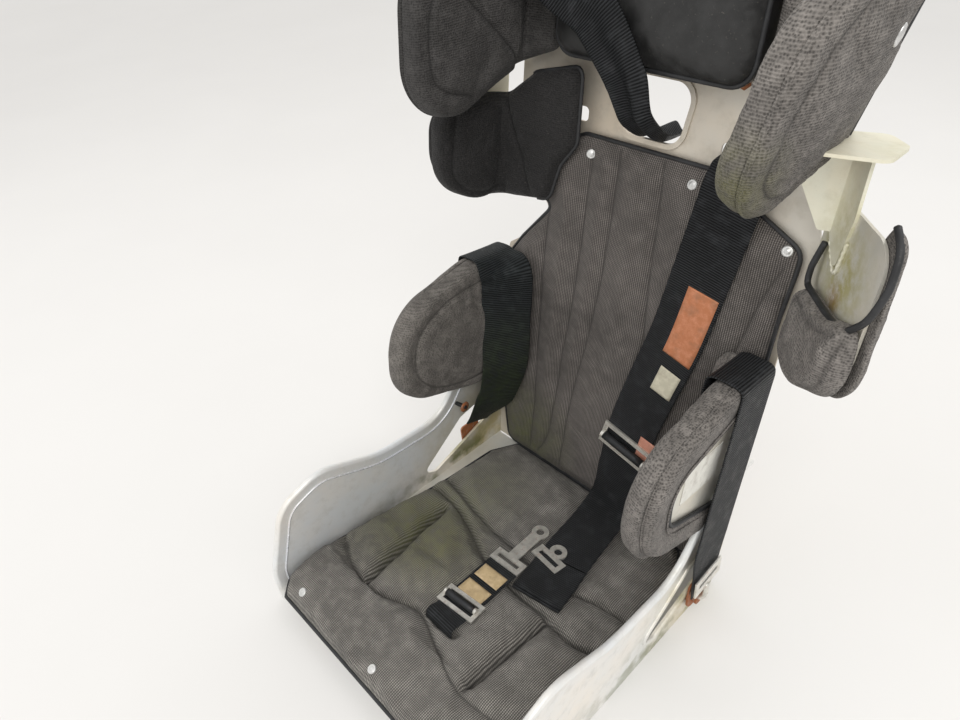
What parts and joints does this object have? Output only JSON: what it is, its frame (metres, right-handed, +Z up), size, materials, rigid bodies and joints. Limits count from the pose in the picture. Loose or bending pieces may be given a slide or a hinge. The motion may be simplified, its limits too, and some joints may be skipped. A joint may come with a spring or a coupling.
{
  "type": "full containment racing seat with harness",
  "caption": "Aluminium high-back racing seat with rib, shoulder and head wings, padded covers and a draped webbing harness.",
  "frame": {"origin": "centre of the four-hole bolt pattern, on the underside of the seat's bottom", "axes": "+Z up, -Y the way the seat faces, +X the occupant's left"},
  "size_m": [0.6136, 0.5701, 0.8722],
  "materials": {
    "aluminium": "dull mill finish, stained",
    "cover": "woven cloth, dusty and faded",
    "mesh_cover": "coarse spacer mesh, faded",
    "vinyl": "smooth black vinyl",
    "webbing": "ribbed shiny webbing",
    "steel": "plated, lightly rusted"
  },
  "bodies": {
    "root": {"anchor_bracket_left": "steel", "anchor_bracket_right": "steel", "back_cover": "cover", "back_shell": "aluminium", "belt_end_tab": "steel", "bottom_pan": "aluminium", "crotch_adjuster": "steel", "crotch_belt": "webbing", "crotch_tongue": "steel", "cushion": "cover", "head_brace_left": "aluminium", "head_brace_right": "aluminium", "head_flange_left": "aluminium", "head_flange_right": "aluminium", "head_pad_left": "mesh_cover", "head_pad_right": "mesh_cover", "head_wing_left": "aluminium", "head_wing_right": "aluminium", "headrest_pad": "vinyl", "hip_panel_left": "aluminium", "hip_panel_right": "aluminium", "lap_belt_left": "webbing", "lap_belt_right": "webbing", "rib_pad_left": "mesh_cover", "rib_pad_right": "mesh_cover", "rib_wing_left": "aluminium", "rib_wing_right": "aluminium", "shoulder_adjuster": "steel", "shoulder_belt_left": "webbing", "shoulder_belt_right": "webbing", "shoulder_pad_left": "mesh_cover", "shoulder_pad_right": "mesh_cover", "shoulder_wing_left": "aluminium", "shoulder_wing_right": "aluminium"}
  },
  "joints": []
}
